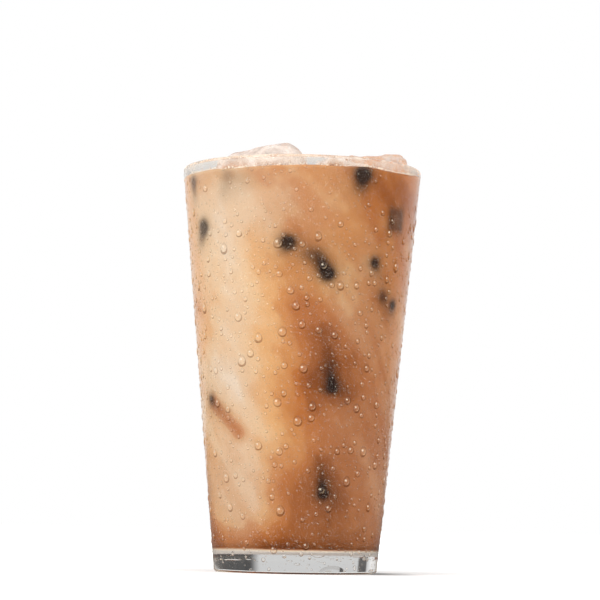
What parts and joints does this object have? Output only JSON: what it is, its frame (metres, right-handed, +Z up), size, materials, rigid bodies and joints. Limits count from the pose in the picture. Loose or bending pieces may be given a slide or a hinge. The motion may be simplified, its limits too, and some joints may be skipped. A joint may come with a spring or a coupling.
{
  "type": "iced chai latte",
  "caption": "Iced milky chai in a clear tapered pint tumbler with a thick glass base, filled nearly to the rim, with blocks of ice standing out of the drink.",
  "frame": {"origin": "centre of the foot, on the surface that the glass stands on", "axes": "+Z up along the axis of the glass; -Y is the front and +X the right of someone who looks at the side where the tall block of ice stands left"},
  "size_m": [0.0886, 0.0886, 0.1571],
  "materials": {
    "glass": "clear pressed glass, fogged and beaded with condensation above the base",
    "drink": "milky spiced tea, pale cream to golden brown, marbled where milk and tea haven't mixed",
    "ice": "wet clear ice with a cloudy core, tinted by the drink"
  },
  "bodies": {
    "root": {"glass": "glass", "drink": "drink", "ice_tall": "ice", "ice_side": "ice", "ice_front": "ice", "ice_back_left": "ice", "ice_back_right": "ice", "ice_middle": "ice"}
  },
  "joints": []
}
